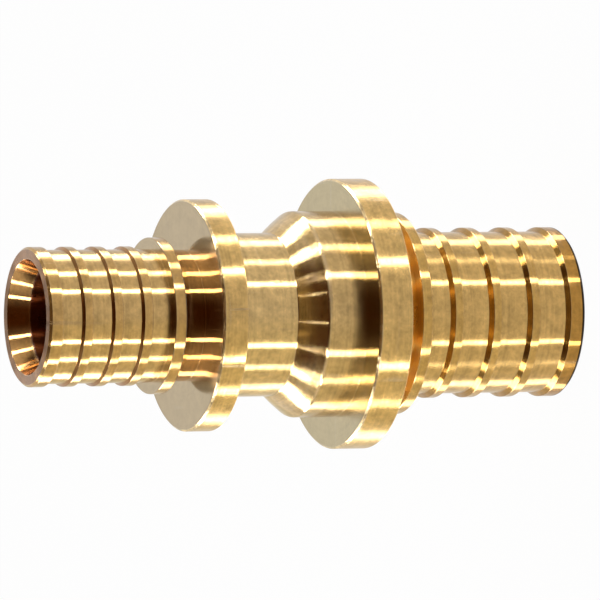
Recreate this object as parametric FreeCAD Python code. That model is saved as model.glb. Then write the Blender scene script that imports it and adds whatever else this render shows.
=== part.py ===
import FreeCAD, Part
import math
import os
from typing import NamedTuple

# Reducing coupling for plastic pipe, turned from one brass bar. Sizes in millimetres, +Z up.
# It stands on the end of its large spigot. The origin is the centre of that end, the axis
# of turning is Z, and the small spigot points up.

# Large spigot, from its end to its flange
large_spigot_length = 26.25
large_barrel_radius = 10.25
large_wall = 2.0
large_rib_height = 0.55
large_rib_land = 1.1
large_rib_end_side = 0.1
large_rib_flange_side = 0.5
large_rib_pitch = 5.27
large_rib_count = 3
large_end_land = 2.0
large_end_chamfer = 0.3
large_collar_height = 2.55
large_collar_width = 1.39
large_collar_gap = 3.12
large_groove_rounding = 1.2
large_mouth_lip = 1.3
large_mouth_depth = 3.6

# Small spigot, from its end to its flange
small_spigot_length = 20.67
small_barrel_radius = 8.34
small_wall = 2.14
small_rib_height = 0.38
small_rib_land = 1.1
small_rib_end_side = 0.3
small_rib_flange_side = 0.1
small_rib_pitch = 3.925
small_rib_count = 3
small_end_land = 1.8
small_end_chamfer = 0.3
small_collar_height = 1.46
small_collar_width = 1.48
small_collar_gap = 3.05
small_mouth_lip = 1.5
small_mouth_depth = 2.7

# Flanges that stop the pressed sleeves
large_flange_radius = 17.06
large_flange_thickness = 4.38
small_flange_radius = 14.55
small_flange_thickness = 3.33
flange_chamfer = 0.12

# Body between the flanges: a wide shoulder, a cone and a narrow waist
shoulder_radius = 13.0
shoulder_length = 5.2
cone_length = 3.1
cone_rounding = 0.6
waist_radius = 10.28
waist_length = 8.27

# The large bore narrows to the small one in a cone inside the shoulder
bore_step_above_flange = 3.3
bore_step_length = 2.2


class Corner(NamedTuple):
    """Corner of the half section, rounded by an arc where it has a rounding radius."""

    radius: float
    height: float
    rounding: float = 0


def bend(before, corner, after, rounding):
    """Start, middle and end of the arc that rounds a corner."""
    to_before = (before - corner).normalize()
    to_after = (after - corner).normalize()
    half_angle = to_before.getAngle(to_after) / 2
    shorter = min(before.distanceToPoint(corner), after.distanceToPoint(corner))
    setback = min(rounding / math.tan(half_angle), 0.45 * shorter)
    rounding = setback * math.tan(half_angle)
    inwards = (to_before + to_after).normalize()
    middle = corner + inwards * (rounding / math.sin(half_angle) - rounding)
    return corner + to_before * setback, middle, corner + to_after * setback


def closed_wire(corners):
    """Closed outline through the corners, in the plane of X and Z."""
    points = [FreeCAD.Vector(corner.radius, 0, corner.height) for corner in corners]
    edges = []
    leaving = []
    arriving = []
    for index, corner in enumerate(corners):
        start = end = points[index]
        if corner.rounding:
            following = points[(index + 1) % len(points)]
            start, middle, end = bend(points[index - 1], points[index], following, corner.rounding)
            edges.append(Part.Arc(start, middle, end).toShape())
        arriving.append(start)
        leaving.append(end)
    for start, end in zip(leaving, arriving[1:] + arriving[:1]):
        edges.append(Part.LineSegment(start, end).toShape())
    return Part.Wire(Part.__sortEdges__(edges))


def flange_outline(radius, bottom, top):
    """Rim of a flange, both edges chamfered."""
    return [
        Corner(radius - flange_chamfer, bottom),
        Corner(radius, bottom + flange_chamfer),
        Corner(radius, top - flange_chamfer),
        Corner(radius - flange_chamfer, top),
    ]


def spigot_outline(length, barrel, rib_height, rib_land, end_side, flange_side, pitch, count, end_land,
                   end_chamfer, collar_height, collar_width, collar_gap, groove_rounding=0):
    """Outside of one ribbed spigot, from its end to its flange."""
    crest = barrel + rib_height
    outline = [Corner(crest - end_chamfer, 0), Corner(crest, end_chamfer)]
    land_top = end_land
    for _ in range(count):
        outline += [
            Corner(crest, land_top),
            Corner(barrel, land_top + flange_side),
            Corner(barrel, land_top + pitch - rib_land - end_side),
            Corner(crest, land_top + pitch - rib_land),
        ]
        land_top += pitch
    outline += [Corner(crest, land_top), Corner(barrel, land_top + flange_side)]
    collar_top = length - collar_gap
    collar_bottom = collar_top - collar_width
    collar_radius = barrel + collar_height
    outline += [Corner(barrel, collar_bottom), Corner(collar_radius, collar_bottom)]
    outline += [Corner(collar_radius, collar_top), Corner(barrel, collar_top, groove_rounding)]
    return outline + [Corner(barrel, length)]


def outside_outline():
    """Outside of the coupling, from the large end up to the small end."""
    large_spigot = spigot_outline(
        large_spigot_length, large_barrel_radius, large_rib_height, large_rib_land,
        large_rib_end_side, large_rib_flange_side, large_rib_pitch, large_rib_count, large_end_land,
        large_end_chamfer, large_collar_height, large_collar_width, large_collar_gap,
        large_groove_rounding)
    small_spigot = spigot_outline(
        small_spigot_length, small_barrel_radius, small_rib_height, small_rib_land,
        small_rib_end_side, small_rib_flange_side, small_rib_pitch, small_rib_count, small_end_land,
        small_end_chamfer, small_collar_height, small_collar_width, small_collar_gap)
    large_flange = flange_outline(large_flange_radius, large_spigot_length, shoulder_bottom)
    body = [
        Corner(shoulder_radius, shoulder_bottom),
        Corner(shoulder_radius, cone_bottom, cone_rounding),
        Corner(waist_radius, waist_bottom, cone_rounding),
        Corner(waist_radius, small_flange_bottom),
    ]
    small_flange = flange_outline(small_flange_radius, small_flange_bottom, small_flange_top)
    turned_over = [Corner(radius, total_length - height, rounding)
                   for radius, height, rounding in reversed(small_spigot)]
    return large_spigot + large_flange + body + small_flange + turned_over


def bore_outline():
    """Inside of the coupling, from the small end down to the large end."""
    large_bore = large_barrel_radius - large_wall
    small_bore = small_barrel_radius - small_wall
    large_mouth = large_barrel_radius + large_rib_height - large_mouth_lip
    small_mouth = small_barrel_radius + small_rib_height - small_mouth_lip
    step_bottom = shoulder_bottom + bore_step_above_flange
    return [
        Corner(small_mouth, total_length),
        Corner(small_bore, total_length - small_mouth_depth),
        Corner(small_bore, step_bottom + bore_step_length),
        Corner(large_bore, step_bottom),
        Corner(large_bore, large_mouth_depth),
        Corner(large_mouth, 0),
    ]


def coupling_body():
    """The whole coupling: its half section turned about Z."""
    section = Part.Face(closed_wire(outside_outline() + bore_outline()))
    return section.revolve(FreeCAD.Vector(0, 0, 0), FreeCAD.Vector(0, 0, 1), 360)


# Heights of the faces along the axis, from the large end up
shoulder_bottom = large_spigot_length + large_flange_thickness
cone_bottom = shoulder_bottom + shoulder_length
waist_bottom = cone_bottom + cone_length
small_flange_bottom = waist_bottom + waist_length
small_flange_top = small_flange_bottom + small_flange_thickness
total_length = small_flange_top + small_spigot_length

os.makedirs("parts", exist_ok=True)
body = coupling_body()
body.exportStep("parts/coupling_body.step")
print("valid", body.isValid(), "solids", len(body.Solids), "volume", round(body.Volume, 1))
print("box", body.BoundBox)
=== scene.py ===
import logging
import math
from dataclasses import dataclass
from enum import Enum
from typing import NamedTuple

import bpy
import numpy as np
from mathutils import Matrix, Vector


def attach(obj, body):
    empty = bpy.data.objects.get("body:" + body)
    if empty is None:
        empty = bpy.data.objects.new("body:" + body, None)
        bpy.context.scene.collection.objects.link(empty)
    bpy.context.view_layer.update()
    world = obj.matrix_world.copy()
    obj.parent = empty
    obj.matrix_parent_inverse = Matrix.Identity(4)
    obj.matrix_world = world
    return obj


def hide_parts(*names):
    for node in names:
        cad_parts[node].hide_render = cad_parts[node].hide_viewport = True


# Reducing coupling turned from one brass bar. It stands on the end of its large spigot, small spigot up.
# Sizes of the coupling are in millimetres, as on its drawing, and become metres where a mesh is made.

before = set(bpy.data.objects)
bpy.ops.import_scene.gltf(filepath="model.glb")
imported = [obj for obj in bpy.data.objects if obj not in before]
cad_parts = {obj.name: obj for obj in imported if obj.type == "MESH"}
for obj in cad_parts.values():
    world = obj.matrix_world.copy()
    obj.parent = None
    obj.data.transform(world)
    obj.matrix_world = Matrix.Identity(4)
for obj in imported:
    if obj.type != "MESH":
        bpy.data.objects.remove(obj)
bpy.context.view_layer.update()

log = logging.getLogger("coupling")
MM = 0.001
MICRON = 1e-6
Colour = tuple[float, float, float]
WHITE: Colour = (1.0, 1.0, 1.0)


class Skin(Enum):
    """Cut that a run of the half section gets on the lathe; each has a finish of its own, and some finishes
    paint light or shade onto their runs.
    """

    LARGE_SPIGOT = "large spigot"
    LARGE_LAND = "large rib"
    LARGE_FLANK_PAINTED_SHADE = "large rib side, painted shade"
    LARGE_END_LAND_PAINTED_SHADE = "large end land, painted shade"
    LARGE_END_EDGE_PAINTED_SHADE = "large end edge, painted shade"
    GROOVE_PAINTED_LIGHT = "groove behind the large flange, painted bounce light"
    SMALL_SPIGOT = "small spigot"
    SMALL_LAND = "small rib"
    SMALL_FLANK_PAINTED_SHADE = "small rib side, painted shade"
    NECK = "neck before the small flange"
    COLLAR_BACK_PAINTED_LIGHT = "back of the small collar, painted light"
    FLANGE_EDGE = "front edge of a flange"
    RIM = "flange rim"
    BODY = "waist and cone"
    SHOULDER = "shoulder"
    FACE = "large flange face"
    SMALL_FACE = "small flange face"
    END = "end face"
    MOUTH = "mouth"
    BORE_PAINTED_SHADE = "bore"


class Turn(NamedTuple):
    """Corner of the half section: where it is, how far it is rounded, and the cut of the run that follows."""

    radius: float
    height: float
    rounding: float
    skin: Skin


class Span(NamedTuple):
    """Range of a value and the range that it is moved to; past its ends the result stays the same."""

    low: float
    high: float
    to_low: float = 0.0
    to_high: float = 1.0


# Meshes and objects


def grid_mesh(name: str, points: np.ndarray, closed: bool = False) -> bpy.types.Mesh:
    """Mesh of quads over a grid of points, shaded smooth.

    Point (i, j) is joined to (i, j + 1), (i + 1, j + 1) and (i + 1, j), so a face points along
    (step in j) x (step in i).

    Args:
        name: Name of the mesh.
        points: Array of rows x columns x 3, in metres.
        closed: Whether the last row joins the first, and the last column the first column.

    Returns:
        The new mesh.
    """
    rows, columns = points.shape[:2]
    i, j = np.meshgrid(np.arange(rows if closed else rows - 1),
                       np.arange(columns if closed else columns - 1), indexing="ij")
    i2, j2 = (i + 1) % rows, (j + 1) % columns
    quads = np.stack([i * columns + j, i * columns + j2, i2 * columns + j2, i2 * columns + j], axis=-1)
    quads = quads.reshape(-1, 4)
    mesh = bpy.data.meshes.new(name)
    mesh.vertices.add(rows * columns)
    mesh.vertices.foreach_set("co", points.astype(np.float32).ravel())
    mesh.loops.add(quads.size)
    mesh.loops.foreach_set("vertex_index", quads.astype(np.int32).ravel())
    mesh.polygons.add(len(quads))
    mesh.polygons.foreach_set("loop_start", np.arange(0, quads.size, 4, dtype=np.int32))
    mesh.polygons.foreach_set("use_smooth", np.full(len(quads), True))
    mesh.update(calc_edges=True)
    return mesh


def add_object(name: str, data: bpy.types.ID) -> bpy.types.Object:
    """Adds an object to the scene, at the origin.

    Args:
        name: Name of the object.
        data: Its mesh, lamp or camera.

    Returns:
        The new object.
    """
    obj = bpy.data.objects.new(name, data)
    bpy.context.scene.collection.objects.link(obj)
    return obj


def point_values(mesh: bpy.types.Mesh, name: str, values: np.ndarray) -> None:
    """Stores one number per vertex as an attribute that a material can read."""
    attribute = mesh.attributes.new(name, "FLOAT", "POINT")
    attribute.data.foreach_set("value", values.astype(np.float32).ravel())


def direction(azimuth: float, elevation: float = 0.0) -> tuple[float, float, float]:
    """Direction of length 1 by its angles.

    At azimuth a and elevation e it is (sin a cos e, -cos a cos e, sin e).

    Args:
        azimuth: Degrees round the axis, from the camera's side to the right.
        elevation: Degrees up from the floor.

    Returns:
        The direction.
    """
    a, e = math.radians(azimuth), math.radians(elevation)
    return math.sin(a) * math.cos(e), -math.cos(a) * math.cos(e), math.sin(e)


# Node trees


class Nodes:
    """A node tree with short ways to place and join its nodes."""

    def __init__(self, tree: bpy.types.NodeTree) -> None:
        """Keeps the tree and empties it."""
        self.tree = tree
        tree.nodes.clear()

    def feed(self, node: bpy.types.Node, socket: str | int, value: object) -> None:
        """Fills one input of a node.

        Args:
            node: The node.
            socket: Name or number of the input.
            value: A socket, which is joined to it, or anything else, which becomes its value.
        """
        target = node.inputs[socket]
        if isinstance(value, bpy.types.NodeSocket):
            self.tree.links.new(value, target)
        else:
            target.default_value = value

    def add(self, kind: str, settings: dict[str, object] | None = None, **inputs: object) -> bpy.types.Node:
        """Places a node and fills its inputs.

        Args:
            kind: Node type, without the ShaderNode before it.
            settings: Properties of the node.
            **inputs: Input sockets by name, spaces as _; a socket joins, anything else is its value.

        Returns:
            The new node.
        """
        node = self.tree.nodes.new(kind if kind.startswith("Node") else "ShaderNode" + kind)
        for key, value in (settings or {}).items():
            setattr(node, key, value)
        for key, value in inputs.items():
            self.feed(node, key.replace("_", " "), value)
        return node

    def result(self, kind: str, inputs: dict[int, object], settings: dict[str, object] | None = None,
               output: int = 0) -> bpy.types.NodeSocket:
        """Places a node whose inputs go by number.

        Args:
            kind: Node type, without the ShaderNode before it.
            inputs: Input sockets by number.
            settings: Properties of the node.
            output: Number of the output that is wanted.

        Returns:
            That output.
        """
        node = self.add(kind, settings)
        for number, value in inputs.items():
            self.feed(node, number, value)
        return node.outputs[output]

    def math(self, operation: str, first: object, second: object = 0.0,
             clamp: bool = False) -> bpy.types.NodeSocket:
        """Result of one sum on two numbers or sockets."""
        return self.result("Math", {0: first, 1: second}, {"operation": operation, "use_clamp": clamp})

    def ramp(self, value: object, span: Span) -> bpy.types.NodeSocket:
        """Value moved from one range to another and held inside it."""
        return self.result("MapRange", dict(enumerate((value, *span))))

    def blend(self, factor: object, first: object, second: object) -> bpy.types.NodeSocket:
        """Mix of two colours."""
        return self.result("Mix", {0: factor, 6: first, 7: second}, {"data_type": "RGBA"}, output=2)

    def mix(self, factor: object, first: bpy.types.Node, second: bpy.types.Node) -> bpy.types.NodeSocket:
        """Mix of two shaders."""
        return self.result("MixShader", {0: factor, 1: first.outputs[0], 2: second.outputs[0]})


def rgba(colour: Colour) -> tuple[float, float, float, float]:
    """Colour with full opacity."""
    return (*colour, 1.0)


def new_material(name: str) -> tuple[bpy.types.Material, Nodes]:
    """Makes an empty material.

    Args:
        name: Name of the material.

    Returns:
        The material and its node tree.
    """
    material = bpy.data.materials.new(name)
    material.use_nodes = True
    return material, Nodes(material.node_tree)


class EffectGroup:
    """Shader node group with named inputs and outputs, built once and placed in each finish."""

    def __init__(self, name: str, inputs: dict[str, tuple[str, float]], outputs: list[str]) -> None:
        """Makes the group and its sockets.

        Args:
            name: Name of the group.
            inputs: Socket type and default value of each input.
            outputs: Names of the outputs, all numbers.
        """
        self.tree = bpy.data.node_groups.new(name, "ShaderNodeTree")
        self.nodes = Nodes(self.tree)
        for key, (kind, value) in inputs.items():
            socket = self.tree.interface.new_socket(key, in_out="INPUT", socket_type="NodeSocket" + kind)
            if kind == "Float":
                socket.default_value = value
        for key in outputs:
            self.tree.interface.new_socket(key, in_out="OUTPUT", socket_type="NodeSocketFloat")
        self.given = self.nodes.add("NodeGroupInput").outputs
        self.result = self.nodes.add("NodeGroupOutput").inputs

    def put(self, name: str, socket: bpy.types.NodeSocket) -> None:
        """Joins a socket to one of the group's outputs."""
        self.tree.links.new(socket, self.result[name])

    def place(self, nodes: Nodes, **inputs: object) -> bpy.types.Node:
        """Places the group in a material's tree and fills its inputs."""
        return nodes.add("Group", {"node_tree": self.tree}, **inputs)


# Effects that the finishes share: how noise between 0 and 1 becomes rings, scratches, knocks and worn edges

SWELLS_PER_RING = 0.17
SWELL_HEIGHT = 2.0
RING_TONE, SWELL_TONE = 0.4, 0.6
SCRATCH_TURNS = ((0.3, 0.9, 0.2), (1.2, 0.2, 1.9), (2.0, 1.1, 0.7))
SCRATCH_SCALES = ((60, 60, 900), (900, 70, 50), (50, 1000, 80))
SCRATCH_STEP = Span(0.66, 0.74)
KNOCK_STEP = Span(0.22, 0.06)
KNOCK_PLACES = Span(0.56, 0.66)
WORN_STEP = Span(0.22, 0.55)


def lathe_marks() -> EffectGroup:
    """Rings left by the cutting tool: noise along the half section, single rings and slow swells added up.

    Returns:
        The group. Run is the way along the half section and Pitch the width of a ring, in millimetres.
    """
    group = EffectGroup("lathe marks", {"Run": ("Float", 0.0), "Pitch": ("Float", 0.4)}, ["Height", "Tone"])
    n, given = group.nodes, group.given
    turns = n.math("DIVIDE", given["Run"], given["Pitch"])
    rings = n.add("TexNoise", {"noise_dimensions": "1D"}, W=turns, Scale=1.0, Detail=2.0, Roughness=0.6)
    swells = n.add("TexNoise", {"noise_dimensions": "1D"}, W=n.math("MULTIPLY", turns, SWELLS_PER_RING),
                   Scale=1.0, Detail=3.0, Roughness=0.7)
    group.put("Height", n.math("ADD", rings.outputs[0], n.math("MULTIPLY", swells.outputs[0], SWELL_HEIGHT)))
    group.put("Tone", n.math("ADD", n.math("MULTIPLY", rings.outputs[0], RING_TONE),
                             n.math("MULTIPLY", swells.outputs[0], SWELL_TONE)))
    return group


def handling_marks() -> EffectGroup:
    """Scratches, small knocks, waves and cloudy spots.

    Scratches are the largest of three noises, each turned and drawn out thin another way. Knocks are small
    dots, kept where a wide noise is high. Waves and spots are plain noise.

    Returns:
        The group. Place is a point of the piece, in metres.
    """
    group = EffectGroup("handling marks", {"Place": ("Vector", 0.0)},
                        ["Scratches", "Knocks", "Waves", "Mottle"])
    n, place = group.nodes, group.given["Place"]
    lines = None
    for turn, scale in zip(SCRATCH_TURNS, SCRATCH_SCALES):
        turned = n.add("Mapping", Vector=place, Rotation=turn, Scale=scale)
        noise = n.add("TexNoise", Vector=turned.outputs[0], Scale=1.0, Detail=2.0, Roughness=0.5)
        line = n.ramp(noise.outputs[0], SCRATCH_STEP)
        lines = line if lines is None else n.math("MAXIMUM", lines, line)
    group.put("Scratches", lines)
    dots = n.add("TexVoronoi", Vector=place, Scale=700.0, Randomness=1.0)
    rare = n.add("TexNoise", Vector=place, Scale=170.0, Detail=1.0)
    group.put("Knocks", n.math("MULTIPLY", n.ramp(dots.outputs["Distance"], KNOCK_STEP),
                               n.ramp(rare.outputs[0], KNOCK_PLACES)))
    waves = n.add("TexNoise", Vector=place, Scale=420.0, Detail=2.5, Roughness=0.45)
    group.put("Waves", waves.outputs[0])
    mottle = n.add("TexNoise", Vector=place, Scale=700.0, Detail=4.0, Roughness=0.75)
    group.put("Mottle", mottle.outputs[0])
    return group


def edge_wear() -> EffectGroup:
    """Burr and bright, rubbed metal along the sharp edges: edge mask x noise, as it is and as a soft step.

    Returns:
        The group. Edge is 1 on a sharp outer edge, and Place a point of the piece, in metres.
    """
    group = EffectGroup("edge wear", {"Edge": ("Float", 0.0), "Place": ("Vector", 0.0)}, ["Mask", "Burr"])
    n, given = group.nodes, group.given
    noise = n.add("TexNoise", Vector=given["Place"], Scale=1900.0, Detail=2.0, Roughness=0.6)
    broken = n.math("MULTIPLY", given["Edge"], noise.outputs[0])
    group.put("Mask", n.ramp(broken, WORN_STEP))
    group.put("Burr", broken)
    return group


# Finishes

# Noise keeps to the middle of 0 to 1, so its spread is stretched to the whole of it.
NOISE_LOW, NOISE_HIGH = 0.3, 0.7
# Rubbed and scratched metal is this share of the brass colour plus a lift.
PALE_SHARE, PALE_LIFT = 0.55, 0.35


@dataclass(frozen=True)
class BrassFinish:
    """Bright turned brass as one cut of the lathe leaves it, in a colour that for some cuts also paints light
    or shade.
    """

    colour: Colour
    roughness: float = 0.155
    smoothest: float = 0.85
    roughest: float = 1.2
    grain: float = 1.0
    ring_pitch: float = 0.35
    ring_depth: float = 0.6
    ring_share: float = 0.35
    tone: float = 0.37
    wave_depth: float = 7.0
    scratch_depth: float = 0.8
    scratch_tone: float = 0.10
    scratch_roughness: float = 0.10
    knock_times: float = 4.0
    burr_depth: float = 4.0
    wear: float = 0.12

    def material(self, name: str, rings: EffectGroup, marks: EffectGroup,
                 wear: EffectGroup) -> bpy.types.Material:
        """Builds the material.

        Base colour: brass, a little lighter or darker by ring and in cloudy spots, paler on worn edges and in
        scratches. Height: rings + waves + burr - scratches - knocks, in thousandths of a millimetre.
        The fine grooves of the tool run round the axis, so reflections are blurred along the axis.

        Args:
            name: Name of the material.
            rings: The group of tool marks.
            marks: The group of handling marks.
            wear: The group of edge wear.

        Returns:
            The material.
        """
        material, n = new_material(name)
        place = n.add("TexCoord").outputs["Object"]
        run = n.add("Attribute", {"attribute_name": "run"}).outputs["Fac"]
        edge = n.add("Attribute", {"attribute_name": "edge"}).outputs["Fac"]
        ring = rings.place(n, Run=run, Pitch=self.ring_pitch).outputs
        mark = marks.place(n, Place=place).outputs
        rubbed = wear.place(n, Edge=edge, Place=place).outputs

        dark = rgba(tuple(c * (1 - self.tone) for c in self.colour))
        light = rgba(tuple(c * (1 + self.tone) for c in self.colour))
        pale = rgba(tuple(PALE_SHARE * c + PALE_LIFT for c in self.colour))
        tone = n.math("ADD", n.ramp(ring["Tone"], Span(NOISE_LOW, NOISE_HIGH, 0.0, self.ring_share)),
                      n.ramp(mark["Mottle"], Span(NOISE_LOW, NOISE_HIGH, 0.0, 1 - self.ring_share)))
        base = n.blend(tone, dark, light)
        base = n.blend(n.math("MULTIPLY", mark["Scratches"], self.scratch_tone), base, pale)
        base = n.blend(n.math("MULTIPLY", rubbed["Mask"], self.wear), base, pale)

        rough = n.ramp(mark["Waves"], Span(NOISE_LOW, NOISE_HIGH, self.roughness * self.smoothest,
                                           self.roughness * self.roughest))
        rougher = n.math("MULTIPLY", mark["Scratches"], self.scratch_roughness)
        rough = n.math("ADD", rough, rougher, clamp=True)

        height = n.math("MULTIPLY", ring["Height"], self.ring_depth)
        for operation, share, depth in (("ADD", mark["Waves"], self.wave_depth),
                                        ("ADD", rubbed["Burr"], self.burr_depth),
                                        ("SUBTRACT", mark["Scratches"], self.scratch_depth),
                                        ("SUBTRACT", mark["Knocks"], self.scratch_depth * self.knock_times)):
            height = n.math(operation, height, n.math("MULTIPLY", share, depth))
        bump = n.add("Bump", Height=height, Distance=MICRON, Strength=1.0)

        along = n.add("Tangent", {"direction_type": "RADIAL", "axis": "Z"}).outputs[0]
        shader = n.add("BsdfPrincipled", Base_Color=base, Metallic=1.0, Roughness=rough,
                       Normal=bump.outputs[0], Anisotropic=self.grain, Anisotropic_Rotation=0.25,
                       Tangent=along)
        n.add("OutputMaterial", Surface=shader.outputs[0])
        return material


# Each cut's colour is set to how bright and warm that part looks, so the lighter and darker copies of the one
# brass are partly real differences between cuts and partly painted light and shade; the plainest cases are
# marked below.
FINISHES: dict[Skin, BrassFinish] = {
    Skin.LARGE_SPIGOT: BrassFinish((0.57, 0.36, 0.125)),
    Skin.LARGE_LAND: BrassFinish((0.52, 0.315, 0.095)),
    # Large rib sides darker than the spigot: painted shade for the dark lines at the ribs.
    Skin.LARGE_FLANK_PAINTED_SHADE: BrassFinish((0.37, 0.20, 0.045), roughness=0.1),
    # Darker large end land: painted shade of the floor round the foot, which it mirrors.
    Skin.LARGE_END_LAND_PAINTED_SHADE: BrassFinish((0.44, 0.235, 0.055)),
    # Near-black large end chamfer and the band behind it: painted shade.
    Skin.LARGE_END_EDGE_PAINTED_SHADE: BrassFinish((0.03, 0.015, 0.004), roughness=0.4),
    # Brighter than the spigot: painted light bounced round the groove behind the large flange.
    Skin.GROOVE_PAINTED_LIGHT: BrassFinish((0.68, 0.42, 0.12), roughness=0.30, tone=0.12),
    Skin.SMALL_SPIGOT: BrassFinish((0.56, 0.36, 0.14)),
    Skin.SMALL_LAND: BrassFinish((0.51, 0.31, 0.11)),
    # Small rib sides darker than the spigot: painted shade for the dark lines at the ribs.
    Skin.SMALL_FLANK_PAINTED_SHADE: BrassFinish((0.34, 0.17, 0.055), roughness=0.1),
    Skin.NECK: BrassFinish((0.60, 0.34, 0.13), roughness=0.07, ring_pitch=0.5, ring_depth=2.0,
                           wave_depth=14.0),
    # Near-white back of the small collar: painted light, which keeps its mirror image in the small flange's
    # face pale.
    Skin.COLLAR_BACK_PAINTED_LIGHT: BrassFinish((0.97, 0.90, 0.80), roughness=0.6, tone=0.1),
    # Front chamfer paler than the rim: a painted highlight along the flange's edge; its burr is bumps.
    Skin.FLANGE_EDGE: BrassFinish((0.74, 0.54, 0.27), roughness=0.16, ring_share=0.0, tone=0.6,
                                  wave_depth=30.0, burr_depth=40.0),
    Skin.RIM: BrassFinish((0.62, 0.40, 0.145), roughness=0.20, scratch_depth=1.6, scratch_tone=0.25,
                          wave_depth=12.0, burr_depth=18.0),
    Skin.BODY: BrassFinish((0.60, 0.405, 0.17), wave_depth=9.0),
    Skin.SHOULDER: BrassFinish((0.535, 0.355, 0.145), wave_depth=11.0),
    Skin.FACE: BrassFinish((0.465, 0.381, 0.214), roughness=0.11, wave_depth=1.5, tone=0.10),
    Skin.SMALL_FACE: BrassFinish((0.435, 0.335, 0.19), roughness=0.12, wave_depth=1.5, tone=0.10),
    Skin.END: BrassFinish((0.31, 0.165, 0.078), roughness=0.28, wave_depth=2.0),
    Skin.MOUTH: BrassFinish((0.46, 0.25, 0.085), roughness=0.13, wave_depth=14.0),
    # Near-black bore: painted shade inside the hole.
    Skin.BORE_PAINTED_SHADE: BrassFinish((0.18, 0.045, 0.012), roughness=0.3),
}


# The coupling


@dataclass(frozen=True)
class Ring:
    """Flange or collar: a disc that stands out from the body."""

    radius: float
    thickness: float
    rounding: float = 0.12
    chamfer: float = 0.0
    chamfer_rounding: float = 0.1

    def corners(self, bottom: float, rim: Skin, face: Skin) -> list[Turn]:
        """Its two outer edges; the upper one can have a chamfer.

        Args:
            bottom: Height of its underside.
            rim: Cut of its rim.
            face: Cut of its upper face.

        Returns:
            The corners, from the underside up.
        """
        top = bottom + self.thickness
        lower = Turn(self.radius, bottom, self.rounding, rim)
        if not self.chamfer:
            return [lower, Turn(self.radius, top, self.rounding, face)]
        return [lower, Turn(self.radius, top - self.chamfer, self.chamfer_rounding, Skin.FLANGE_EDGE),
                Turn(self.radius - self.chamfer, top, self.chamfer_rounding, face)]


class Cuts(NamedTuple):
    """Which cut each part of a spigot gets."""

    barrel: Skin
    rib: Skin
    rib_side: Skin
    end_land: Skin
    end_edge: Skin
    collar_front: Skin
    collar_back: Skin
    groove: Skin
    flange: Skin


@dataclass(frozen=True)
class Spigot:
    """Ribbed spigot for one pipe, measured from its end.

    It can have a narrow band at its end in the end edge's cut, which on the large spigot is painted shade,
    and a slight taper, the relief, behind its collar.
    """

    cuts: Cuts
    length: float
    barrel: float
    wall: float
    rib_height: float
    land: float
    end_side: float
    flange_side: float
    pitch: float
    end_land: float
    collar: Ring
    collar_gap: float
    groove_rounding: float
    mouth_lip: float
    mouth_depth: float
    end_chamfer: float = 0.3
    ribs: int = 3
    edge: float = 0.06
    root: float = 0.06
    corner_root: float = 0.03
    relief_length: float = 0.0
    relief_depth: float = 0.09
    relief_rounding: float = 1.0
    end_shade_band: float = 0.0
    end_band_taper: float = 0.004
    end_band_rounding: float = 0.01

    @property
    def crest(self) -> float:
        """Radius over the ribs."""
        return self.barrel + self.rib_height

    @property
    def bore(self) -> float:
        """Radius of the hole."""
        return self.barrel - self.wall

    @property
    def mouth(self) -> float:
        """Radius of the flared mouth at the end face."""
        return self.crest - self.mouth_lip

    def outside(self) -> list[Turn]:
        """Draws the outside: the end, the ribs, the collar and the neck.

        Returns:
            The corners from the end to the flange, heights counted from the end.
        """
        cuts = self.cuts
        corners = [Turn(self.crest - self.end_chamfer, 0.0, self.edge, cuts.end_edge)]
        # The band behind the end chamfer keeps the end edge's cut; on the large spigot that is near black,
        # painted shade.
        if self.end_shade_band:
            corners += [Turn(self.crest, self.end_chamfer, self.edge, cuts.end_edge),
                        Turn(self.crest - self.end_band_taper, self.end_chamfer + self.end_shade_band,
                             self.end_band_rounding, cuts.end_land)]
        else:
            corners.append(Turn(self.crest, self.end_chamfer, self.edge, cuts.end_land))
        top = self.end_land
        for _ in range(self.ribs):
            rib = top + self.pitch - self.land
            corners += [Turn(self.crest, top, self.edge, cuts.rib_side),
                        Turn(self.barrel, top + self.flange_side, self.root, cuts.barrel),
                        Turn(self.barrel, rib - self.end_side, self.root, cuts.rib_side),
                        Turn(self.crest, rib, self.edge, cuts.rib)]
            top += self.pitch
        corners += [Turn(self.crest, top, self.edge, cuts.rib_side),
                    Turn(self.barrel, top + self.flange_side, self.root, cuts.barrel)]
        collar_top = self.length - self.collar_gap
        collar_bottom = collar_top - self.collar.thickness
        corners.append(Turn(self.barrel, collar_bottom, self.corner_root, cuts.collar_front))
        corners += self.collar.corners(collar_bottom, cuts.rib, cuts.collar_back)
        neck = self.barrel
        corners.append(Turn(neck, collar_top, self.groove_rounding, cuts.groove))
        if self.relief_length:
            neck -= self.relief_depth
            corners.append(Turn(neck, collar_top + self.relief_length, self.relief_rounding, cuts.groove))
        return corners + [Turn(neck, self.length, self.corner_root, cuts.flange)]


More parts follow.
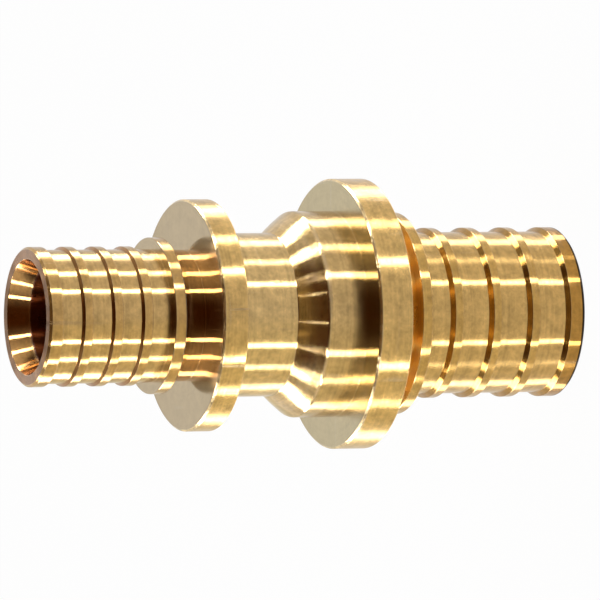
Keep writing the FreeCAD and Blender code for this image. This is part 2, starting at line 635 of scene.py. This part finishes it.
@dataclass(frozen=True)
class Coupling:
    """The whole coupling: two spigots, two flanges, and the shoulder, cone and waist between them.

    The last sizes say how finely it is drawn: the steps round the axis, the points of an arc, the largest
    share of a run that an arc takes, and where the two more points beside an arc lie, as a share of the run
    and at most that far away.
    """

    large: Spigot = Spigot(
        Cuts(barrel=Skin.LARGE_SPIGOT, rib=Skin.LARGE_LAND, rib_side=Skin.LARGE_FLANK_PAINTED_SHADE,
             end_land=Skin.LARGE_END_LAND_PAINTED_SHADE, end_edge=Skin.LARGE_END_EDGE_PAINTED_SHADE, collar_front=Skin.LARGE_SPIGOT,
             collar_back=Skin.GROOVE_PAINTED_LIGHT, groove=Skin.GROOVE_PAINTED_LIGHT, flange=Skin.GROOVE_PAINTED_LIGHT),
        length=26.25, barrel=10.25, wall=2.0, rib_height=0.55, land=1.1, end_side=0.1, flange_side=0.5,
        pitch=5.27, end_land=2.0, collar=Ring(12.8, 1.39, rounding=0.1), collar_gap=3.12, groove_rounding=1.2,
        mouth_lip=1.3, mouth_depth=3.6, end_shade_band=0.13)
    small: Spigot = Spigot(
        Cuts(barrel=Skin.SMALL_SPIGOT, rib=Skin.SMALL_LAND, rib_side=Skin.SMALL_FLANK_PAINTED_SHADE,
             end_land=Skin.SMALL_LAND, end_edge=Skin.SMALL_LAND, collar_front=Skin.SMALL_FACE,
             collar_back=Skin.COLLAR_BACK_PAINTED_LIGHT, groove=Skin.NECK, flange=Skin.SMALL_FACE),
        length=20.67, barrel=8.34, wall=2.14, rib_height=0.38, land=1.1, end_side=0.3, flange_side=0.1,
        pitch=3.925, end_land=1.8, collar=Ring(9.8, 1.48, rounding=0.1), collar_gap=3.05,
        groove_rounding=0.03, mouth_lip=1.5, mouth_depth=2.7, relief_length=1.2)
    large_flange: Ring = Ring(17.06, 4.38, chamfer=0.24)
    small_flange: Ring = Ring(14.55, 3.33, chamfer=0.24)
    shoulder_radius: float = 13.0
    shoulder_length: float = 5.2
    cone_length: float = 3.1
    cone_rounding: float = 0.6
    cone_root: float = 0.25
    cone_fullness: float = 0.10
    cone_crown: float = 20.0
    waist_radius: float = 10.28
    waist_length: float = 8.27
    body_root: float = 0.03
    bore_step_above_flange: float = 3.3
    bore_step_length: float = 2.2
    bore_step_rounding: float = 0.3
    mouth_edge: float = 0.1
    mouth_root: float = 0.4
    around: int = 180
    arc_points: int = 5
    arc_share: float = 0.42
    near_share: float = 0.12
    near_most: float = 0.05
    near_wear: float = 0.7
    far_share: float = 0.4
    far_most: float = 0.3

    @property
    def height(self) -> float:
        """Length of the coupling along its axis."""
        return (self.large.length + self.large_flange.thickness + self.shoulder_length + self.cone_length
                + self.waist_length + self.small_flange.thickness + self.small.length)

    def half_section(self) -> list[Turn]:
        """Draws the half section: up the outside, over the small end and down the bore.

        The cone is slightly full: the middle of its slope stands out, square to the slope.

        Returns:
            The corners of the closed outline.
        """
        shoulder = self.large.length + self.large_flange.thickness
        cone = shoulder + self.shoulder_length
        waist = cone + self.cone_length
        flange = waist + self.waist_length
        total = self.height
        outline = self.large.outside()
        outline += self.large_flange.corners(self.large.length, Skin.RIM, Skin.FACE)
        slope = math.atan2(self.cone_length, self.shoulder_radius - self.waist_radius)
        full_radius = (self.shoulder_radius + self.waist_radius) / 2 + self.cone_fullness * math.sin(slope)
        full_height = (cone + waist) / 2 + self.cone_fullness * math.cos(slope)
        outline += [Turn(self.shoulder_radius, shoulder, self.body_root, Skin.SHOULDER),
                    Turn(self.shoulder_radius, cone, self.cone_rounding, Skin.BODY),
                    Turn(full_radius, full_height, self.cone_crown, Skin.BODY),
                    Turn(self.waist_radius, waist, self.cone_root, Skin.BODY),
                    Turn(self.waist_radius, flange, self.body_root, Skin.FACE)]
        outline += self.small_flange.corners(flange, Skin.RIM, Skin.SMALL_FACE)
        # The small spigot is drawn from its end and turned over here, so the cut that follows a corner
        # is the one that came before it.
        upper = self.small.outside()
        below = [Skin.END] + [corner.skin for corner in upper[:-1]]
        outline += [Turn(corner.radius, total - corner.height, corner.rounding, skin)
                    for corner, skin in zip(reversed(upper), reversed(below))]
        step = shoulder + self.bore_step_above_flange
        return outline + [
            Turn(self.small.mouth, total, self.mouth_edge, Skin.MOUTH),
            Turn(self.small.bore, total - self.small.mouth_depth, self.mouth_root, Skin.BORE_PAINTED_SHADE),
            Turn(self.small.bore, step + self.bore_step_length, self.bore_step_rounding, Skin.BORE_PAINTED_SHADE),
            Turn(self.large.bore, step, self.bore_step_rounding, Skin.BORE_PAINTED_SHADE),
            Turn(self.large.bore, self.large.mouth_depth, self.mouth_root, Skin.MOUTH),
            Turn(self.large.mouth, 0.0, self.mouth_edge, Skin.END),
        ]

    def beside(self, run: np.ndarray) -> np.ndarray:
        """Distances from an arc to the near and the far point on each of the runs beside it."""
        return np.stack([np.minimum(self.near_share * run, self.near_most),
                         np.minimum(self.far_share * run, self.far_most)], axis=1)

    def outline_points(self) -> tuple[np.ndarray, np.ndarray, np.ndarray]:
        """Works out the half section with its corners rounded.

        A corner with rounding r and half angle h between its two runs starts its arc r / tan(h) before the
        corner. The arc's centre lies r / sin(h) in along the bisector, and a point on it is the centre plus
        the two end spokes weighted by sin((1 - t) w) / sin(w) and sin(t w) / sin(w), w being the arc's turn.
        Two more points on each run beside an arc keep the shading of the run flat and fade the edge's wear.

        Returns:
            The points (radius, height), how sharp an outer edge each lies on, and the index of its cut.
        """
        outline = self.half_section()
        at = np.array([(c.radius, c.height) for c in outline])
        wanted = np.array([c.rounding for c in outline])
        skins = list(Skin)
        skin = np.array([skins.index(c.skin) for c in outline])
        back, ahead = np.roll(at, 1, axis=0) - at, np.roll(at, -1, axis=0) - at
        length_back, length_ahead = np.linalg.norm(back, axis=1), np.linalg.norm(ahead, axis=1)
        back, ahead = back / length_back[:, None], ahead / length_ahead[:, None]
        half = np.arccos(np.clip((back * ahead).sum(1), -1, 1)) / 2
        setback = np.minimum(wanted / np.tan(half), self.arc_share * np.minimum(length_back, length_ahead))
        radius = setback * np.tan(half)
        inwards = back + ahead
        inwards /= np.linalg.norm(inwards, axis=1)[:, None]
        centre = at + inwards * (radius / np.sin(half))[:, None]
        start, end = at + back * setback[:, None], at + ahead * setback[:, None]
        turn = (np.pi - 2 * half)[:, None, None]
        t = np.linspace(0, 1, self.arc_points)[None, :, None]
        arc = centre[:, None] + (np.sin((1 - t) * turn) * (start - centre)[:, None]
                                 + np.sin(t * turn) * (end - centre)[:, None]) / np.sin(turn)
        run_ahead = length_ahead - setback - np.roll(setback, -1)
        run_back = np.roll(run_ahead, 1)
        before = start[:, None] + back[:, None] * self.beside(run_back)[:, ::-1, None]
        after = end[:, None] + ahead[:, None] * self.beside(run_ahead)[..., None]
        points = np.concatenate([before, arc, after], axis=1)
        outer = (-back[:, 0] * ahead[:, 1] + back[:, 1] * ahead[:, 0]) > 0
        sharpness = np.array([0.0, self.near_wear] + [1.0] * self.arc_points + [self.near_wear, 0.0])
        edge = outer[:, None] * sharpness[None, :]
        middle = before.shape[1] + self.arc_points // 2
        cut = np.where(np.arange(points.shape[1])[None, :] < middle, np.roll(skin, 1)[:, None], skin[:, None])
        return points.reshape(-1, 2), edge.ravel(), cut.ravel()

    def build(self, materials: list[bpy.types.Material]) -> bpy.types.Object:
        """Turns the half section about the axis.

        A point at radius r and height z goes to (r cos a, r sin a, z) for each angle a round the axis.

        Args:
            materials: One material for each cut, in their order.

        Returns:
            The finished coupling.
        """
        outline, edge, cut = self.outline_points()
        angle = np.arange(self.around) * (2 * np.pi / self.around)
        radius, height = outline[:, :1], outline[:, 1:]
        points = np.stack([radius * np.cos(angle), radius * np.sin(angle), height + 0 * angle], axis=-1) * MM
        mesh = grid_mesh("coupling", points, closed=True)
        run = np.concatenate([[0.0], np.cumsum(np.linalg.norm(np.diff(outline, axis=0), axis=1))])
        point_values(mesh, "run", np.repeat(run, self.around))
        point_values(mesh, "edge", np.repeat(edge, self.around))
        for material in materials:
            mesh.materials.append(material)
        mesh.polygons.foreach_set("material_index", np.repeat(cut, self.around).astype(np.int32))
        return add_object("coupling", mesh)


# The studio

# Distances from the origin, in metres, between which a strip comes up to its full brightness
GLOW_STARTS, GLOW_FULL = 0.06, 0.11


@dataclass(frozen=True)
class LightStrip:
    """Narrow soft light that runs out over the floor and then up, as a tall tube mirrored in a glossy table.

    Azimuth is counted from the camera's side. Width is the angle that the strip fills, seen from the
    coupling. The near share is how bright it is close to the coupling, as a share of its full brightness.
    """

    name: str
    azimuth: float
    width: float
    floor_strength: float
    wall_strength: float
    near: float = 0.3
    far: float = 190.0
    top: float = 170.0
    wall_turn: float = 0.0
    near_share: float = 1.0
    foot_half: float = 0.25
    above_floor: float = 0.1
    spigot_radius: float = 10.8

    def build(self) -> list[bpy.types.Object]:
        """Makes the part on the floor and the part that stands behind it.

        A point is the foot of the strip on the spigot, plus its distance out along the azimuth, plus
        half the foot + distance x tan(half the width) to each side. The standing part can be turned on round
        the axis by a few degrees.

        Returns:
            The two strips.
        """
        out = np.array(direction(self.azimuth))
        side = np.array([-out[1], out[0], 0.0])
        foot = self.spigot_radius * np.array(direction(self.azimuth / 2))
        distance = np.array([self.near, self.far])
        across = np.array([-1.0, 1.0])
        half_width = self.foot_half + distance * math.tan(math.radians(self.width / 2))
        floor = (foot + distance[:, None, None] * out
                 + half_width[:, None, None] * across[None, :, None] * side
                 + np.array([0.0, 0.0, self.above_floor]))
        turn = math.radians(self.wall_turn)
        cosine, sine = math.cos(turn), math.sin(turn)
        turned = floor[1] @ np.array([[cosine, sine, 0], [-sine, cosine, 0], [0, 0, 1]])
        wall = np.stack([turned, turned + np.array([0.0, 0.0, self.top])])
        made = []
        for part, points, strength in (("floor", floor[::-1], self.floor_strength),
                                       ("wall", wall[:, ::-1], self.wall_strength)):
            name = f"light_{self.name}_{part}"
            obj = add_object(name, grid_mesh(name, points * MM))
            obj.data.materials.append(light_surface(f"light {self.name} {part}", strength, self.near_share))
            made.append(obj)
        return made


def light_surface(name: str, strength: float, near_share: float) -> bpy.types.Material:
    """White light from the front of a surface only.

    Args:
        name: Name of the material.
        strength: Its full brightness, away from the coupling.
        near_share: Share of that brightness close to the coupling.

    Returns:
        The material.
    """
    material, n = new_material(name)
    away = n.add("VectorMath", {"operation": "LENGTH"}, Vector=n.add("TexCoord").outputs["Object"])
    rise = Span(GLOW_STARTS, GLOW_FULL, strength * near_share, strength)
    glow = n.add("Emission", Color=rgba(WHITE), Strength=n.ramp(away.outputs["Value"], rise))
    behind = n.add("NewGeometry").outputs["Backfacing"]
    n.add("OutputMaterial", Surface=n.mix(behind, glow, n.add("BsdfTransparent")))
    return material


@dataclass(frozen=True)
class SoftLight:
    """Square soft light at a direction and distance from the middle of the coupling, facing it.

    Size is the angle in degrees that it fills, seen from there.
    """

    name: str
    azimuth: float
    elevation: float
    strength: float
    size: float
    distance: float = 420.0

    def build(self, middle: float) -> None:
        """Adds the lamp; its power is the wanted brightness x pi x area.

        Args:
            middle: Height of the middle of the coupling.
        """
        towards = Vector(direction(self.azimuth, self.elevation))
        side = 2 * self.distance * MM * math.tan(math.radians(self.size / 2))
        lamp = bpy.data.lights.new(self.name, "AREA")
        lamp.shape = "SQUARE"
        lamp.size = side
        lamp.energy = self.strength * math.pi * side * side
        obj = add_object(self.name, lamp)
        obj.location = Vector((0, 0, middle * MM)) + towards * self.distance * MM
        obj.rotation_euler = towards.to_track_quat("Z", "Y").to_euler()
        obj.visible_camera = False


@dataclass(frozen=True)
class Studio:
    """Plain pale floor and soft light round the coupling, with the open, darker side where the camera stands.

    The docstring of world says how the sides, the back and the band of the tent are drawn.
    """

    floor_half: float = 3000.0
    floor_lines: int = 9
    floor_colour: Colour = (0.95, 0.95, 0.95)
    open_side: Colour = (0.07, 0.024, 0.006)
    open_band: Colour = (0.27, 0.21, 0.12)
    warm_side: Colour = (1.0, 0.96, 0.68)
    cool_side: Colour = (0.99, 1.0, 1.0)
    tint_across: Span = Span(-0.09, 0.0)
    white_share: float = 0.97
    mirror_share: float = 0.63
    side_start: Span = Span(0.40, 0.75, 0.15, 0.58)
    side_full: float = 0.90
    side_power: float = 2.5
    back_rise: Span = Span(-0.06, 0.18)
    back_share: Span = Span(0.43, 0.53, 1.0, 0.5)
    band_rise: Span = Span(0.82, 0.93)
    band_fall: Span = Span(0.965, 0.935)
    # Name, azimuth, width, strength on the floor, strength of the standing part
    strips: tuple[LightStrip, ...] = (
        LightStrip("front_right", 43.4, 6.0, 6.5, 16.0),
        LightStrip("front_left", -44.0, 6.0, 6.0, 16.0),
        LightStrip("side_right", 78.5, 7.5, 4.5, 14.0, near_share=0.35),
        LightStrip("side_left", -79.0, 7.5, 4.5, 14.0, near_share=0.35),
        LightStrip("back_right", 121.5, 14.5, 4.5, 13.0, wall_turn=3.0),
        LightStrip("back_left", -123.5, 14.5, 4.5, 13.0, wall_turn=-1.5),
    )
    # Name, azimuth, elevation, strength, size
    lamps: tuple[SoftLight, ...] = (
        SoftLight("box_right", 92.5, 41.5, 14.0, 10.0),
        SoftLight("box_left", -98.0, 41.0, 14.0, 9.0),
        SoftLight("pane_right", 63.0, 53.0, 4.5, 3.0),
        SoftLight("pane_left", -60.0, 54.0, 9.0, 2.5),
        SoftLight("lamp_right", 32.0, 55.0, 20.0, 1.6),
        SoftLight("lamp_left", -13.5, 56.7, 20.0, 1.6),
    )

    def build(self, middle: float) -> None:
        """Makes the floor, the world and the lights.

        Args:
            middle: Height of the middle of the coupling.
        """
        self.floor()
        self.world()
        for strip in self.strips:
            for obj in strip.build():
                obj.visible_camera = obj.visible_diffuse = obj.visible_shadow = False
        for lamp in self.lamps:
            lamp.build(middle)
        log.info("studio: %d strips, %d lamps", len(self.strips), len(self.lamps))

    def floor(self) -> None:
        """Flat white floor at height 0: a grid from corner to corner. Metal mirrors its left warmer."""
        line = np.linspace(-self.floor_half, self.floor_half, self.floor_lines) * MM
        y, x = np.meshgrid(line, line, indexing="ij")
        obj = add_object("floor", grid_mesh("floor", np.stack([x, y, 0 * x], axis=-1)))
        material, n = new_material("white floor")
        path = n.add("LightPath").outputs
        seen = n.math("MAXIMUM", path["Is Camera Ray"], path["Is Transmission Ray"])
        share = n.math("MAXIMUM", n.math("MULTIPLY", seen, self.white_share),
                       n.math("MULTIPLY", path["Is Glossy Ray"], self.mirror_share))
        paint = n.add("BsdfPrincipled", Base_Color=rgba(self.floor_colour), Roughness=0.9)
        place = n.add("SeparateXYZ", Vector=n.add("TexCoord").outputs["Object"]).outputs
        tint = n.blend(n.ramp(place["X"], self.tint_across), rgba(self.warm_side), rgba(self.cool_side))
        white = n.add("Emission", Color=n.blend(path["Is Glossy Ray"], rgba(WHITE), tint), Strength=1.0)
        n.add("OutputMaterial", Surface=n.mix(share, paint, white))
        obj.data.materials.append(material)

    def world(self) -> None:
        """Tent of white walls with an open, dark strip over the camera's side and a pale band across it.

        With (x, y, z) the direction looked in, x to the right and y away from the camera, the white is the
        larger of ((|x| - s) / (0.9 - s)) ^ 2.5 and b (y + 0.06) / 0.24, each held between 0 and 1. The start
        s of the side walls goes from 0.15 low down to 0.58 where z is 0.75, the back's share b falls from 1
        to 0.5 where z goes from 0.43 to 0.53, and the band lies where z is about 0.93.
        """
        world = bpy.data.worlds.new("tent")
        bpy.context.scene.world = world
        world.use_nodes = True
        n = Nodes(world.node_tree)
        look = n.add("SeparateXYZ", Vector=n.add("TexCoord").outputs["Generated"]).outputs
        start = n.ramp(look["Z"], self.side_start)
        sides = n.math("DIVIDE", n.math("SUBTRACT", n.math("ABSOLUTE", look["X"]), start),
                       n.math("SUBTRACT", self.side_full, start), clamp=True)
        sides = n.math("POWER", sides, self.side_power)
        back = n.math("MULTIPLY", n.ramp(look["Y"], self.back_rise), n.ramp(look["Z"], self.back_share))
        level = n.math("MAXIMUM", sides, back)
        path = n.add("LightPath").outputs
        seen = n.math("MAXIMUM", path["Is Camera Ray"], path["Is Transmission Ray"])
        level = n.math("MAXIMUM", level, seen)
        band = n.math("MULTIPLY", n.ramp(look["Z"], self.band_rise), n.ramp(look["Z"], self.band_fall))
        dark = n.blend(band, rgba(self.open_side), rgba(self.open_band))
        background = n.add("Background", Color=n.blend(level, dark, rgba(WHITE)), Strength=1.0)
        n.add("OutputWorld", Surface=background.outputs[0])


@dataclass(frozen=True)
class Camera:
    """Long lens from the small end's side, turned a quarter so that the axis lies across the picture."""

    elevation: float = 21.93
    roll: float = -90.572
    lens: float = 420.0
    sensor_width: float = 36.0
    distance: float = 883.84
    aim: tuple[float, float, float] = (1.791, 1.337, 34.05)
    clip_start: float = 0.05
    clip_end: float = 20.0

    def build(self) -> None:
        """Places the camera at its distance back from the point it looks at.

        A level camera has its right along X. The roll turns its right and its up about the line of sight.
        """
        data = bpy.data.cameras.new("camera")
        data.lens = self.lens
        data.sensor_width = self.sensor_width
        data.clip_start, data.clip_end = self.clip_start, self.clip_end
        obj = add_object("camera", data)
        roll = math.radians(self.roll)
        back = Vector(direction(0.0, self.elevation))
        level_right = Vector((1, 0, 0))
        level_up = Vector((0, back.z, -back.y))
        right = level_right * math.cos(roll) + level_up * math.sin(roll)
        up = level_up * math.cos(roll) - level_right * math.sin(roll)
        place = (Vector(self.aim) + back * self.distance) * MM
        turned = Matrix((right, up, back)).transposed().to_4x4()
        obj.matrix_world = Matrix.Translation(place) @ turned
        bpy.context.scene.camera = obj


def main() -> None:
    """Builds the coupling, the studio and the camera."""
    logging.basicConfig(level=logging.INFO, format="%(message)s")
    Camera().build()
    rings, marks, wear = lathe_marks(), handling_marks(), edge_wear()
    materials = [FINISHES[skin].material(f"brass {skin.value}", rings, marks, wear) for skin in Skin]
    coupling = Coupling()
    piece = coupling.build(materials)
    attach(piece, "root")
    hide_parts("coupling_body")
    log.info("coupling: %d faces, %.2f mm long", len(piece.data.polygons), coupling.height)
    Studio().build(coupling.height / 2)
    bpy.context.scene.view_settings.view_transform = "Standard"


if __name__ == "__main__":
    main()
